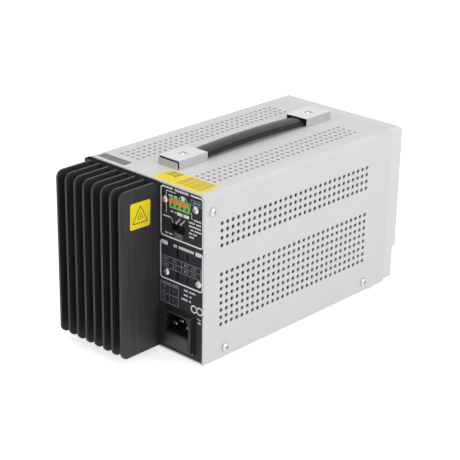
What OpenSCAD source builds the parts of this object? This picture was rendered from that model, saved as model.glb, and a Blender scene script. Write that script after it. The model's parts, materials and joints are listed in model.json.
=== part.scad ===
// Bench power supply: folded steel case with a finned heat sink, a strap handle
// and a moulded front bezel. +Z is up and the front faces -Y.
// The origin is on the standing surface, under the middle of the whole outline.

/* [Case] */
// Width of the case
case_w = 128; // [118:1:150]
// Height of the case without its feet
case_h = 139.5; // [134:0.5:165]
// Depth from the rear panel's face to the front of the bezel
body_d = 240; // [234:1:290]
// Thickness of the cover's sheet
cover_t = 1.2; // [0.8:0.1:1.4]
// Thickness of the chassis and panel plates
plate_t = 1.5; // [1:0.1:2]
// Outside radius of the cover's folds
fold_r = 5; // [3:0.5:7]
// Height of the rubber feet
foot_h = 5.5; // [3:0.5:10]
// Diameter of the rubber feet
foot_d = 12; // [10:1:16]

/* [Vents] */
// Spacing of the vent holes
vent_pitch = 6; // [5:0.1:6.2]
// Diameter of a vent hole
vent_d = 3.4; // [2:0.1:3.6]
// Columns of holes along each side and each top band
vent_columns = 30; // [20:1:30]
// Distance from the rear panel to the first column on the sides
side_vent_start = 19.4; // [18:0.1:24]
// Height of the lowest row of the lower side block
lower_vent_z = 29; // [26:0.5:32]
// Height of the lowest row of the upper side block
upper_vent_z = 94.9; // [90:0.1:98]
// Distance from the rear panel to the first column on the top
top_vent_start = 21.2; // [19:0.1:26]
// Distance of each top band's middle from the case's middle
top_band_x = 38.6; // [34:0.1:42]

/* [Heat sink] */
// Spacing of the fins
fin_pitch = 10; // [8:0.5:13]
// Thickness of a fin
fin_t = 2; // [1.5:0.1:3]
// How far the fins reach behind the rear panel
fin_reach = 40; // [30:1:50]
// Thickness of the heat sink's base
sink_base_t = 5; // [3:0.5:7]
// Distance from the left side of the case to the first fin
fin_start = 48; // [47:0.5:52]
// Corner radius of a fin
fin_corner_r = 6; // [3:0.5:8]

/* [Rear panel] */
// Distance of the terminals and inlet from the left side
connector_x = 24.5; // [23:0.5:26]
// Height of the middle of the terminal block
terminal_z = 125.7; // [122:0.1:126]
// Spacing of the terminal poles
terminal_pitch = 5.08; // [4.5:0.01:5.5]
// Height of the terminal block
terminal_h = 8; // [7.8:0.1:10]
// How far the terminal block stands behind the panel
terminal_reach = 1.6; // [1:0.1:3]
// Travel of a terminal lever
lever_travel = 1.5; // [1:0.1:2]
// Height of the middle of the remote switch
remote_z = 105.9; // [100:0.1:108]
// Width of the remote switch's slot
remote_slot_w = 14; // [12:0.5:16]
// Travel of the remote switch
remote_travel = 8; // [6:0.5:9]
// Height of the middle of the upper voltage selector
upper_selector_z = 85.2; // [83:0.1:88]
// Height of the middle of the lower voltage selector
lower_selector_z = 67; // [64:0.1:69]
// Width of a voltage selector's slot
selector_slot_w = 12.2; // [11:0.1:13]
// Travel of a voltage selector to each side
selector_travel = 1.7; // [1:0.1:1.8]
// Height of the middle of the inlet module
inlet_z = 22.3; // [21:0.1:24]
// Width of the inlet module's flange
inlet_w = 32; // [31:0.5:34]
// Height of the inlet module's flange
inlet_h = 33.5; // [33:0.5:36]
// How far the inlet module stands behind the panel
inlet_reach = 4; // [3:0.5:6]
// Travel of the fuse drawer
drawer_travel = 14; // [10:0.5:15]

/* [Handle] */
// Spacing of the two handle screws
handle_pitch = 149.5; // [140:0.5:160]
// Distance from the rear panel to the rear handle screw
handle_start = 42; // [38:0.5:48]
// Length of a handle cap
cap_l = 31; // [30:0.5:36]
// Width of the strap
strap_w = 18; // [14:0.5:22]
// Thickness of the strap
strap_t = 4.4; // [4:0.1:6]
// Thickness of the strap's core at its ends
tongue_t = 2; // [1.5:0.1:2.4]
// How far the grip lifts when it is carried
strap_lift = 20; // [12:1:24]

/* [Front] */
// Depth of the bezel
bezel_d = 15.5; // [13:0.5:18]
// Radius of the bezel's top front edge
bezel_r = 6; // [3:0.5:7]
// Radius of the bezel's upright front edges
bezel_side_r = 1.5; // [0.5:0.5:3]
// Height of the recessed lower part of the bezel
recess_h = 30; // [28:0.5:34]
// Depth of that recess
recess_d = 5; // [2:0.5:6]
// Wall of the bezel
bezel_t = 2.5; // [2:0.1:3]
// Width of the display window
window_w = 96; // [84:1:100]
// Height of the display window
window_h = 30; // [26:1:34]
// Height of the middle of the display window
window_z = 111; // [106:1:112]
// Height of the knobs' axis
knob_z = 61; // [56:1:70]
// Distance of the first knob from the left side
knob_start = 21.5; // [20:0.5:24]
// Spacing of the knobs
knob_pitch = 28.3; // [24:0.1:29]
// Diameter of a knob
knob_d = 15; // [12:0.5:18]
// Length of a knob
knob_l = 14.4; // [12:0.1:18]
// Height of the terminal posts and the power button
post_z = 15; // [14:0.5:16]
// Distance of the first terminal post from the left side
post_start = 64; // [58:0.5:66]
// Spacing of the terminal posts
post_pitch = 19.05; // [18:0.05:20]
// Diameter of the plug sockets
socket_d = 4; // [4:0.01:4.1]
// Distance of the power button from the left side
button_x = 24; // [20:0.5:30]
// Travel of the power button
button_travel = 3; // [2:0.1:3.5]

/* [Inside] */
// Length of the transformer core across the case
core_w = 84; // [70:1:90]
// Height of the transformer core
core_h = 70; // [60:1:76]
// Stack of the transformer core
core_stack = 40; // [30:1:46]
// Width of the main board
board_w = 66; // [56:1:70]
// Length of the main board
board_l = 96; // [80:1:104]
// Diameter of a filter capacitor
capacitor_d = 30; // [22:1:30]
// Height of a filter capacitor
capacitor_h = 50; // [35:1:60]

/* [Hidden] */
$fn = 48;

// Clearances
seat_gap = 0.2;          // between pieces that are screwed together
slide_gap = 0.15;        // round a sliding piece
run_gap = 0.05;          // radial gap of a shaft or screw in its hole
face_gap = 0.05;         // between the faces of neighbouring pieces
knob_gap = 0.6;          // between a knob and the bezel

// Whole outline
total_l = fin_reach + body_d + knob_gap + knob_l;
rear_y = total_l / 2 - fin_reach;
top_z = foot_h + case_h;
cover_l = body_d - bezel_d;
inner_w = case_w - 2 * (cover_t + seat_gap);
floor_z = foot_h + plate_t;
face_d = body_d - bezel_t;

// Screws
screw_d = 3;
head_d = 6.2;
cover_head_d = 7.2;
head_h = 2.2;
side_screw_z = [case_h - 14.5, 8, 8.5];
side_screw_d = [9.1, 24.5, cover_l - 28.3];
flange_h = 16;
panel_flange_l = 15;
flange_gap = 1;

// Feet
front_foot_inset = 12;
front_foot_d = cover_l - 8.5;
rear_foot_inset = 30;
rear_foot_d = 36;
foot_barb = 1.6;
foot_barb_h = 1.5;

// Least radius of an inside corner of the bezel
least_r = 0.3;

// Vent blocks
lower_vent_rows = 8;
upper_vent_rows = 4;
top_vent_rows = 4;

// Heat sink and its transistors
sink_w = case_w / 2 + inner_w / 2 - fin_start;
sink_h = case_h - 2;
fin_count = floor((sink_w - fin_t) / fin_pitch) + 1;
sink_z = foot_h + case_h / 2;
transistor_w = 16;
transistor_h = 21;
transistor_t = 5;
transistor_count = 4;
transistor_pitch = 17.5;
transistor_z = 78;
transistor_hole_d = 3.4;
transistor_hole_z = 5;
leg_pitch = 5.4;
leg_w = 1.2;
leg_t = 0.6;
leg_l = 14;
leg_d = 4;
sink_screw_dx = 30;
sink_screw_z = 45;

// Rear connectors
terminal_poles = 4;
terminal_w = terminal_poles * terminal_pitch + 0.8;
terminal_depth = 10;
lever_w = 4.2;
lever_h = 2.6;
lever_reach = 1.6;
lever_pocket = 5;
wire_hole_d = 2.6;
lever_z = terminal_z + terminal_h / 2 - lever_h / 2 - 0.5;
wire_z = terminal_z - 1.4;
remote_x = 27.5;
remote_slot_h = 5.7;
remote_end_gap = 0.5;
remote_nib_w = remote_slot_w - remote_travel - 2 * remote_end_gap;
remote_nib_reach = 1.5;
selector_x = 23;
selector_slot_h = 6.4;
selector_end_gap = 0.1;
selector_nib_w = selector_slot_w - 2 * (selector_travel + selector_end_gap);
switch_body_d = 11;
frame_screw_x = [connector_x - 16.3, connector_x + 16.3, selector_x - 18.1, selector_x + 16.1];
frame_screw_z = [terminal_z + 0.9, terminal_z + 0.9, lower_selector_z + 0.5, lower_selector_z + 0.5];

// Inlet
inlet_flange_t = 1.6;
rim_w = 29;
rim_h = 30.5;
body_w = 27;
body_h = 28.5;
inlet_depth = 30;
cavity_w = 24.8;
cavity_h = 16.2;
cavity_depth = 16.5;
cavity_chamfer = 4.5;
cavity_z = inlet_z + 5.3;
pin_w = 4;
pin_t = 2;
pin_l = 11;
pin_dx = 7;
pin_dz = 2;
drawer_w = 25;
drawer_h = 8.4;
drawer_d = drawer_travel + 3;
drawer_z = inlet_z - 8.3;
fuse_d = 5.2;
fuse_l = 20;
fuse_wall = 1.2;
fuse_start = 4.5;
fuse_lift = 0.4;

// Handle
cap_t = 1.2;
cup_d = 9;
cup_depth = 2.4;
base_t = 1;
end_wall_h = 5.6;
end_wall_t = 1.2;
end_wall_gap = 0.6;
rib_pitch = 1.1;
rib_groove = 0.4;
notch_w = 4;
cup_floor = 0.8;
handle_bush_d = 6;
tongue_lift = base_t + 0.4;
tongue_z = top_z + tongue_lift;
strap_room = 1.3;
cap_w = strap_w + 2 * (cap_t + strap_room);
cap_h = tongue_lift + strap_t + 0.4 + cap_t;
tongue_reach = cap_l / 2 - 1;
strap_mouth = cap_l / 2 + 0.5;
strap_head_l = 6;
slot_d = screw_d + 1.4;
crown_r = 22;
strap_lip = 2.2;
span_l = 1.5 * strap_lift;
bow = 1.6;
end_slide = span_l - sqrt(span_l * span_l - strap_lift * strap_lift);
strap_mid = handle_start + handle_pitch / 2;
grip_l = handle_pitch - 2 * (strap_mouth + span_l);

// Front
sub_panel_gap = 1.5;
front_flange_l = 4.5;
spacer_l = 3;
spacer_d = 5;
spacer_hole_d = 2.4;
spacer_dx = window_w / 2 + 1;
spacer_dz = window_h / 2 + 2;
sub_panel_d = cover_l - sub_panel_gap;
window_rim = 3;
lens_t = 1.6;
digit_w = 38;
digit_h = 19;
digit_t = 7;
digit_dx = 24;
shaft_d = 6;
bush_d = 7;
bush_l = 8;
pot_w = 16;
pot_d = 8;
pot_nut_d = 12;
pot_nut_t = 2.2;
bush_hole_d = bush_d + 0.4;
shaft_hole_d = 8;
knob_bore_l = 10;
knob_tip_d = knob_d - 2.4;
knob_skirt_l = 2;
knob_flutes = 24;
knob_flute_d = 1.2;
cap_flutes = 18;
cap_flute_d = 1.3;
stud_d = 6.4;
stud_l = 15;
stud_tail = 10;
stud_nut_d = 10;
stud_nut_t = 2.6;
socket_l = 14;
collar_d = 14;
collar_l = 3.8;
washer_d = 10;
washer_t = 0.7;
post_cap_d = 13.4;
post_tip_l = 4.4;
wire_cross_d = 2.4;
button_w = 12;
button_h = 9;
button_reach = 6;
button_root = 4;
stem_d = 4;
stem_l = 6;
switch_w = 16;
switch_h = 14;
switch_l = 24;

// Inside
core_x = 0;
core_d = 168;
core_base_h = 3;
coil_reach = 9;
coil_gap = 0.3;
core_foot_w = 12;
core_foot_reach = 4;
board_side = 46;
board_x = case_w / 2 - board_side;
board_d = 34;
standoff_h = 8;
standoff_d = 6;
board_t = 1.6;
board_inset = 5;
capacitor_gap = 3;
capacitor_d_start = 30;

// X of a point at distance d from the left side of the case
function from_left(d) = d - case_w / 2;

// Y of a point at distance d in front of the rear panel's face
function from_rear(d) = rear_y - d;

// Z of a point at height h over the underside of the case
function from_base(h) = foot_h + h;

// Rectangle with round corners, centred
module round_rect(w, h, r) {
    square([w - 2 * r, h], center = true);
    square([w, h - 2 * r], center = true);
    for (sx = [-1, 1], sy = [-1, 1])
        translate([sx * (w / 2 - r), sy * (h / 2 - r)])
            circle(r);
}

// Extrudes an outline drawn in X and Z from depth d forwards by t
module upright(d, t) {
    translate([0, from_rear(d), 0])
        rotate([90, 0, 0])
            linear_extrude(t)
                children();
}

// Places round pieces at depth d with their axis along Y, +Z turned to the front
module facing_front(x, d, z) {
    translate([x, from_rear(d), z])
        rotate([90, 0, 0])
            children();
}

// The same with +Z turned to the rear
module facing_rear(x, d, z) {
    translate([x, from_rear(d), z])
        rotate([-90, 0, 0])
            children();
}

// Pan head screw whose head sits on z = 0 and whose shank points down
module pan_screw(shank_l, width = head_d) {
    difference() {
        union() {
            cylinder(h = head_h * 0.5, d = width);
            translate([0, 0, head_h * 0.5])
                cylinder(h = head_h * 0.5, d1 = width, d2 = width * 0.62);
        }
        for (turn = [0, 90])
            rotate([0, 0, turn])
                translate([0, 0, head_h * 0.5 + 1])
                    cube([width * 0.55, 0.8, 2], center = true);
    }
    translate([0, 0, -shank_l])
        cylinder(h = shank_l + 0.01, d = screw_d);
}

// ---- Case ----

module side_outline() {
    difference() {
        translate([from_rear(cover_l), foot_h])
            square([cover_l, case_h - fold_r]);
        for (column = [0 : vent_columns - 1], row = [0 : lower_vent_rows + upper_vent_rows - 1])
            translate([from_rear(side_vent_start + column * vent_pitch),
                       from_base(row < lower_vent_rows ? lower_vent_z + row * vent_pitch
                                 : upper_vent_z + (row - lower_vent_rows) * vent_pitch)])
                circle(d = vent_d, $fn = 24);
        for (i = [0 : len(side_screw_z) - 1])
            translate([from_rear(side_screw_d[i]), from_base(side_screw_z[i])])
                circle(d = screw_d + 2 * run_gap);
    }
}

module top_outline() {
    difference() {
        translate([-case_w / 2 + fold_r, from_rear(cover_l)])
            square([case_w - 2 * fold_r, cover_l]);
        for (band = [-1, 1], row = [0 : top_vent_rows - 1])
            for (column = [(band < 0 ? 1 : 0) : vent_columns - 1])
                translate([band * top_band_x + (row - (top_vent_rows - 1) / 2) * vent_pitch,
                           from_rear(top_vent_start + column * vent_pitch)])
                    circle(d = vent_d, $fn = 24);
        for (end = [0, 1])
            translate([0, from_rear(handle_start + end * handle_pitch)])
                circle(d = handle_bush_d + 2 * run_gap);
    }
}

module fold_outline(side) {
    translate([side * (case_w / 2 - fold_r), top_z - fold_r])
        intersection() {
            difference() {
                circle(fold_r);
                circle(fold_r - cover_t);
            }
            translate([side > 0 ? 0 : -fold_r, 0])
                square(fold_r);
        }
}

module cover() {
    color("gainsboro")
    union() {
        for (side = [-1, 1]) {
            translate([side > 0 ? case_w / 2 - cover_t : -case_w / 2, 0, 0])
                rotate([90, 0, 90])
                    linear_extrude(cover_t)
                        side_outline();
            upright(0, cover_l)
                fold_outline(side);
        }
        translate([0, 0, top_z - cover_t])
            linear_extrude(cover_t)
                top_outline();
    }
}

module tray_flange_outline() {
    difference() {
        translate([from_rear(cover_l - flange_gap), foot_h])
            square([cover_l - panel_flange_l - 2 * flange_gap, flange_h]);
        for (i = [1, 2])
            translate([from_rear(side_screw_d[i]), from_base(side_screw_z[i])])
                circle(d = screw_d + 2 * run_gap);
    }
}

module foot_places() {
    for (side = [-1, 1]) {
        translate([side * (case_w / 2 - front_foot_inset), from_rear(front_foot_d), 0])
            children();
        translate([side * (case_w / 2 - rear_foot_inset), from_rear(rear_foot_d), 0])
            children();
    }
}

module chassis_tray() {
    color("lightsteelblue")
    difference() {
        union() {
            translate([-inner_w / 2, from_rear(cover_l - seat_gap), foot_h])
                cube([inner_w, cover_l - seat_gap, plate_t]);
            for (side = [-1, 1])
                translate([side > 0 ? inner_w / 2 - plate_t : -inner_w / 2, 0, 0])
                    rotate([90, 0, 90])
                        linear_extrude(plate_t)
                            tray_flange_outline();
        }
        foot_places()
            translate([0, 0, foot_h - 1])
                cylinder(h = plate_t + 2, d = screw_d + 2 * run_gap);
    }
}

module feet() {
    color("dimgray")
    foot_places() {
        cylinder(h = foot_h * 0.4, d1 = foot_d - 2, d2 = foot_d);
        translate([0, 0, foot_h * 0.4])
            cylinder(h = foot_h * 0.6, d = foot_d);
        cylinder(h = foot_h + plate_t, d = screw_d);
        translate([0, 0, floor_z])
            cylinder(h = foot_barb_h, d1 = screw_d + foot_barb, d2 = screw_d);
    }
}

// ---- Rear panel and heat sink ----

module rear_outline() {
    panel_h = case_h - plate_t - cover_t - seat_gap;
    corner_r = fold_r - cover_t;
    difference() {
        translate([-inner_w / 2, floor_z]) {
            square([inner_w, panel_h - corner_r]);
            translate([corner_r, 0])
                square([inner_w - 2 * corner_r, panel_h]);
            for (x = [corner_r, inner_w - corner_r])
                translate([x, panel_h - corner_r])
                    circle(corner_r);
        }
        translate([from_left(connector_x), from_base(terminal_z)])
            square([terminal_w + 2 * seat_gap, terminal_h + 2 * seat_gap], center = true);
        translate([from_left(remote_x), from_base(remote_z)])
            square([remote_slot_w, remote_slot_h], center = true);
        for (z = [upper_selector_z, lower_selector_z])
            translate([from_left(selector_x), from_base(z)])
                square([selector_slot_w, selector_slot_h], center = true);
        translate([from_left(connector_x), from_base(inlet_z)])
            square([body_w + 2 * seat_gap, body_h + 2 * seat_gap], center = true);
        for (i = [0 : len(frame_screw_x) - 1])
            translate([from_left(frame_screw_x[i]), from_base(frame_screw_z[i])])
                circle(d = screw_d + 2 * run_gap);
        translate([sink_middle(), from_base(transistor_z)])
            square([transistor_count * transistor_pitch, transistor_h + 4], center = true);
        for (sx = [-1, 1], sz = [-1, 1])
            translate([sink_middle() + sx * sink_screw_dx, sink_z + sz * sink_screw_z])
                circle(d = screw_d + 2 * run_gap);
    }
}

module rear_panel() {
    color("#26272b")
    difference() {
        union() {
            upright(0, plate_t)
                rear_outline();
            for (side = [-1, 1])
                translate([side > 0 ? inner_w / 2 - plate_t : -inner_w / 2,
                           from_rear(panel_flange_l), floor_z])
                    cube([plate_t, panel_flange_l, case_h - plate_t - fold_r]);
            translate([-inner_w / 2, from_rear(panel_flange_l), floor_z])
                cube([inner_w, panel_flange_l, plate_t]);
        }
        for (side = [-1, 1])
            translate([side * inner_w / 2, from_rear(side_screw_d[0]), from_base(side_screw_z[0])])
                rotate([0, 90, 0])
                    cylinder(h = 4 * plate_t, d = screw_d + 2 * run_gap, center = true);
    }
}

// X of the middle of the heat sink
function sink_middle() = from_left(fin_start) + sink_w / 2;

module heat_sink() {
    color("#1c1d20")
    difference() {
        union() {
            upright(-sink_base_t, sink_base_t - face_gap)
                translate([sink_middle(), sink_z])
                    square([sink_w, sink_h], center = true);
            for (i = [0 : fin_count - 1])
                translate([from_left(fin_start + i * fin_pitch), from_rear(0), sink_z])
                    rotate([90, 0, 90])
                        linear_extrude(fin_t)
                            fin_outline();
        }
        for (sx = [-1, 1], sz = [-1, 1])
            facing_front(sink_middle() + sx * sink_screw_dx, -sink_base_t + 1.5, sink_z + sz * sink_screw_z)
                cylinder(h = sink_base_t, d = screw_d + 2 * run_gap);
    }
}

// Outline of one fin: square at its root and round at its free corners
module fin_outline() {
    reach = fin_reach - sink_base_t + 1;
    translate([sink_base_t - 1, 0]) {
        translate([0, -sink_h / 2])
            square([reach - fin_corner_r, sink_h]);
        translate([0, -sink_h / 2 + fin_corner_r])
            square([reach, sink_h - 2 * fin_corner_r]);
        for (side = [-1, 1])
            translate([reach - fin_corner_r, side * (sink_h / 2 - fin_corner_r)])
                circle(fin_corner_r);
    }
}

module heat_sink_screws() {
    color("silver")
    for (sx = [-1, 1], sz = [-1, 1])
        facing_front(sink_middle() + sx * sink_screw_dx, plate_t, sink_z + sz * sink_screw_z)
            pan_screw(plate_t + sink_base_t - 2);
}

module power_transistors() {
    color("#303030")
    for (i = [0 : transistor_count - 1])
        translate([sink_middle() + (i - (transistor_count - 1) / 2) * transistor_pitch, 0, 0]) {
            difference() {
                upright(0.1, transistor_t)
                    translate([0, from_base(transistor_z)])
                        square([transistor_w, transistor_h], center = true);
                facing_front(0, 0, from_base(transistor_z + transistor_hole_z))
                    cylinder(h = transistor_t + 1, d = transistor_hole_d);
            }
            for (leg = [-1 : 1])
                translate([leg * leg_pitch - leg_w / 2, from_rear(leg_d),
                           from_base(transistor_z) - transistor_h / 2 - leg_l])
                    cube([leg_w, leg_t, leg_l + 0.01]);
        }
}

module cover_screws() {
    color("silver")
    for (side = [-1, 1], i = [0 : len(side_screw_z) - 1])
        translate([side * case_w / 2, from_rear(side_screw_d[i]), from_base(side_screw_z[i])])
            rotate([0, side * 90, 0])
                pan_screw(cover_t + seat_gap + plate_t + 2, cover_head_d);
}

module rear_screws() {
    color("silver")
    for (i = [0 : len(frame_screw_x) - 1])
        facing_rear(from_left(frame_screw_x[i]), 0, from_base(frame_screw_z[i]))
            pan_screw(plate_t + 3);
}

// ---- Inlet ----

module cavity_outline() {
    difference() {
        square([cavity_w, cavity_h], center = true);
        for (side = [-1, 1])
            translate([side * cavity_w / 2, cavity_h / 2])
                rotate(45)
                    square(cavity_chamfer * sqrt(2), center = true);
    }
}

module inlet_module() {
    color("#1a1a1c")
    difference() {
        union() {
            upright(-inlet_flange_t, inlet_flange_t - face_gap)
                translate([from_left(connector_x), from_base(inlet_z)])
                    round_rect(inlet_w, inlet_h, 1.5);
            upright(-inlet_reach, inlet_reach - 0.5)
                translate([from_left(connector_x), from_base(inlet_z)])
                    round_rect(rim_w, rim_h, 1);
            upright(-0.5, inlet_depth)
                translate([from_left(connector_x), from_base(inlet_z)])
                    square([body_w, body_h], center = true);
        }
        upright(-inlet_reach - 1, cavity_depth + 1)
            translate([from_left(connector_x), from_base(cavity_z)])
                cavity_outline();
        upright(-inlet_reach - 1, drawer_d + 1 + seat_gap)
            translate([from_left(connector_x), from_base(drawer_z)])
                square([drawer_w, drawer_h], center = true);
        inlet_pin_places()
            translate([0, 0, -1])
                linear_extrude(inlet_depth + 4)
                    square([pin_w + 2 * run_gap, pin_t + 2 * run_gap], center = true);
    }
}

// Places the three blades, whose +Z runs from the cavity's floor to the inside
module inlet_pin_places() {
    for (pin = [-1 : 1])
        facing_front(from_left(connector_x) + pin * pin_dx, cavity_depth - inlet_reach - 0.5,
                     from_base(cavity_z) + (pin == 0 ? pin_dz : -pin_dz))
            children();
}

module inlet_pins() {
    color("gold")
    inlet_pin_places()
        translate([0, 0, -pin_l])
            linear_extrude(pin_l + inlet_depth - cavity_depth + 8)
                square([pin_w, pin_t], center = true);
}

// Places the two fuses, which lie side by side across the drawer
module fuse_places() {
    for (i = [0, 1])
        translate([from_left(connector_x) - fuse_l / 2,
                   from_rear(fuse_start - inlet_reach + i * (fuse_d + fuse_wall)),
                   from_base(drawer_z) + fuse_lift])
            rotate([0, 90, 0])
                children();
}

module fuse_drawer() {
    color("#202023")
    difference() {
        upright(-inlet_reach - 0.4, drawer_d)
            translate([from_left(connector_x), from_base(drawer_z)])
                square([drawer_w - 2 * slide_gap, drawer_h - 2 * slide_gap], center = true);
        fuse_places()
            cylinder(h = fuse_l + 2 * run_gap, d = fuse_d + 2 * run_gap);
        translate([from_left(connector_x) - fuse_l / 2, from_rear(fuse_start - inlet_reach + 2 * fuse_d),
                   from_base(drawer_z) + fuse_lift])
            cube([fuse_l + 2 * run_gap, 2 * fuse_d, drawer_h]);
    }
}

module fuses() {
    color("lightcyan")
    fuse_places()
        cylinder(h = fuse_l, d = fuse_d);
}

// ---- Terminal block ----

// X of the middle of a terminal pole, counted from 1 at the left
function pole_x(i) = from_left(connector_x) + (i - (terminal_poles + 1) / 2) * terminal_pitch;

module terminal_block() {
    color("limegreen")
    difference() {
        upright(-terminal_reach, terminal_depth)
            translate([from_left(connector_x), from_base(terminal_z)])
                square([terminal_w, terminal_h], center = true);
        for (i = [1 : terminal_poles]) {
            upright(-terminal_reach - 1, lever_pocket + 1)
                translate([pole_x(i), from_base(lever_z)])
                    square([lever_w, lever_h], center = true);
            facing_front(pole_x(i), -terminal_reach - 1, from_base(wire_z))
                cylinder(h = terminal_depth - 1, d = wire_hole_d);
        }
    }
}

module lever(i) {
    color("orangered")
    translate([pole_x(i), 0, 0])
        difference() {
            upright(-terminal_reach - lever_reach, lever_reach + lever_pocket - lever_travel - 0.2)
                translate([0, from_base(lever_z)])
                    square([lever_w - 2 * slide_gap, lever_h - 2 * slide_gap], center = true);
            translate([0, from_rear(-terminal_reach - lever_reach), from_base(lever_z)])
                cube([lever_w * 0.5, 0.8, 0.8], center = true);
        }
}

// ---- Rear switches ----

module remote_switch_body() {
    color("#3a3a3e")
    difference() {
        upright(plate_t + 0.1, switch_body_d)
            translate([from_left(remote_x), from_base(remote_z)])
                square([remote_slot_w + 6, remote_slot_h + 6], center = true);
        upright(plate_t, 4)
            translate([from_left(remote_x), from_base(remote_z)])
                square([remote_slot_w, remote_slot_h], center = true);
    }
}

module remote_slider() {
    color("#151517")
    upright(-remote_nib_reach, remote_nib_reach + plate_t + 3.5)
        translate([from_left(remote_x) - remote_travel / 2, from_base(remote_z)])
            square([remote_nib_w, remote_slot_h - 2 * slide_gap], center = true);
}

module selector_bodies() {
    color("#3a3a3e")
    for (z = [upper_selector_z, lower_selector_z])
        difference() {
            upright(plate_t + 0.1, switch_body_d)
                translate([from_left(selector_x), from_base(z)])
                    square([selector_slot_w + 8, selector_slot_h + 5], center = true);
            upright(plate_t, 4)
                translate([from_left(selector_x), from_base(z)])
                    square([selector_slot_w, selector_slot_h], center = true);
        }
}

module selector_slider(z) {
    color("#202023")
    difference() {
        upright(0.4, plate_t + 3)
            translate([from_left(selector_x), from_base(z)])
                square([selector_nib_w, selector_slot_h - 2 * slide_gap], center = true);
        translate([from_left(selector_x), from_rear(0.4), from_base(z)])
            cube([1, 1.2, selector_slot_h - 2], center = true);
    }
}

// ---- Handle ----

// Places the front and the rear half of the handle, which mirror each other
module handle_ends() {
    for (end = [0, 1])
        translate([0, from_rear(handle_start + end * handle_pitch), top_z])
            rotate([0, 0, end * 180])
                children();
}

module handle_caps() {
    color("silver")
    handle_ends()
        difference() {
            union() {
                difference() {
                    translate([-cap_w / 2, -cap_l / 2, face_gap])
                        cube([cap_w, cap_l, cap_h - face_gap]);
                    translate([-cap_w / 2 + cap_t, -cap_l / 2 - 1, -1])
                        cube([cap_w - 2 * cap_t, cap_l + 2, cap_h - cap_t + 1]);
                }
                translate([0, 0, cap_h - cup_depth])
                    cylinder(h = cup_depth, d = cup_d);
            }
            translate([0, 0, cap_h - cup_depth + cup_floor])
                cylinder(h = cup_depth, d = head_d + 0.8);
            cylinder(h = cap_h, d = screw_d + 2 * run_gap);
        }
}

module handle_bases() {
    color("lightgray")
    handle_ends()
        difference() {
            union() {
                translate([-cap_w / 2 + cap_t + slide_gap, -cap_l / 2 + 1, 0.02])
                    cube([cap_w - 2 * (cap_t + slide_gap), cap_l + end_wall_gap, base_t]);
                translate([-cap_w / 2 + cap_t + slide_gap, cap_l / 2 + end_wall_gap, 0.02])
                    end_wall();
                translate([0, 0, -cover_t - 1.5])
                    cylinder(h = cover_t + 2, d = handle_bush_d);
            }
            translate([0, 0, -10])
                cylinder(h = 20, d = screw_d + 2 * run_gap);
        }
}

// Ribbed end wall with a drain notch at its foot
module end_wall() {
    wall_w = cap_w - 2 * (cap_t + slide_gap);
    difference() {
        cube([wall_w, end_wall_t, end_wall_h]);
        for (x = [rib_pitch : rib_pitch : wall_w - rib_pitch / 2])
            translate([x - rib_groove / 2, end_wall_t - 0.25, 0.8])
                cube([rib_groove, 1, end_wall_h]);
        translate([(wall_w - notch_w) / 2, -1, -1])
            cube([notch_w, end_wall_t + 2, 2]);
    }
}

module handle_screws() {
    color("silver")
    handle_ends()
        translate([0, 0, cap_h - cup_depth + cup_floor])
            pan_screw(cap_h - cup_depth + cup_floor + cover_t + 1.2);
}

// Cross-section of the strap: a domed top, a groove along each edge, a flat base
module strap_outline() {
    intersection() {
        translate([-strap_w / 2, 0])
            square([strap_w, strap_t]);
        union() {
            translate([0, strap_t - crown_r])
                circle(crown_r, $fn = 96);
            translate([-strap_w / 2, 0])
                square([strap_w, strap_lip]);
        }
    }
}

module strap_grip() {
    color("#2b2b30")
    upright(strap_mid - grip_l / 2, grip_l)
        translate([0, tongue_z + bow])
            strap_outline();
}

// One flexing span between the grip and the tongue at its end
module strap_span(end) {
    side = end == 0 ? 1 : -1;
    color("#2b2b30")
    multmatrix([[1, 0, 0, 0],
                [0, 1, 0, from_rear(strap_mid)],
                [0, -side * bow / span_l, 1, tongue_z + bow * (1 + grip_l / 2 / span_l)],
                [0, 0, 0, 1]])
        translate([0, side > 0 ? grip_l / 2 + span_l : -grip_l / 2 - face_gap, 0])
            rotate([90, 0, 0])
                linear_extrude(span_l - face_gap)
                    strap_outline();
}

// End of the strap: a full head in the cap's mouth and a slotted tongue behind it
module strap_end(end) {
    slot_l = end_slide + 0.6;
    color("#38383d")
    translate([0, from_rear(strap_mid), tongue_z])
        rotate([0, 0, end * 180])
            translate([0, handle_pitch / 2, 0])
                difference() {
                    union() {
                        translate([0, -strap_mouth + strap_head_l, 0])
                            rotate([90, 0, 0])
                                linear_extrude(strap_head_l - face_gap)
                                    strap_outline();
                        translate([-strap_w / 2 + 1, -strap_mouth + strap_head_l - 1, 0])
                            cube([strap_w - 2, strap_mouth - strap_head_l + 1 + tongue_reach, tongue_t]);
                    }
                    translate([0, 0, -1])
                        linear_extrude(tongue_t + 2) {
                            circle(d = slot_d);
                            translate([-slot_d / 2, 0])
                                square([slot_d, slot_l]);
                            translate([0, slot_l])
                                circle(d = slot_d);
                        }
                }
}

// ---- Front ----

// X of the middle of knob i, of post i
function knob_x(i) = from_left(knob_start + i * knob_pitch);
function post_x(i) = from_left(post_start + i * post_pitch);

module bezel_plan(inset) {
    r = max(bezel_side_r - inset, least_r);
    w = case_w - 2 * inset;
    front = from_rear(body_d - inset);
    translate([-w / 2, front + r])
        square([w, bezel_d + 2 - r]);
    translate([-w / 2 + r, front])
        square([w - 2 * r, bezel_d]);
    for (side = [-1, 1])
        translate([side * (w / 2 - r), front + r])
            circle(r);
}

module bezel_profile(inset) {
    r = bezel_r - inset;
    front = from_rear(body_d - inset);
    top = top_z - inset;
    translate([front, from_base(recess_h + inset)])
        square([bezel_d, case_h - recess_h - 2 * inset - r]);
    translate([front + r, from_base(recess_h)])
        square([bezel_d, case_h - recess_h - inset]);
    translate([front + r, top - r])
        circle(r);
    translate([front + recess_d, foot_h + inset])
        square([bezel_d, case_h / 2]);
}

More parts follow.
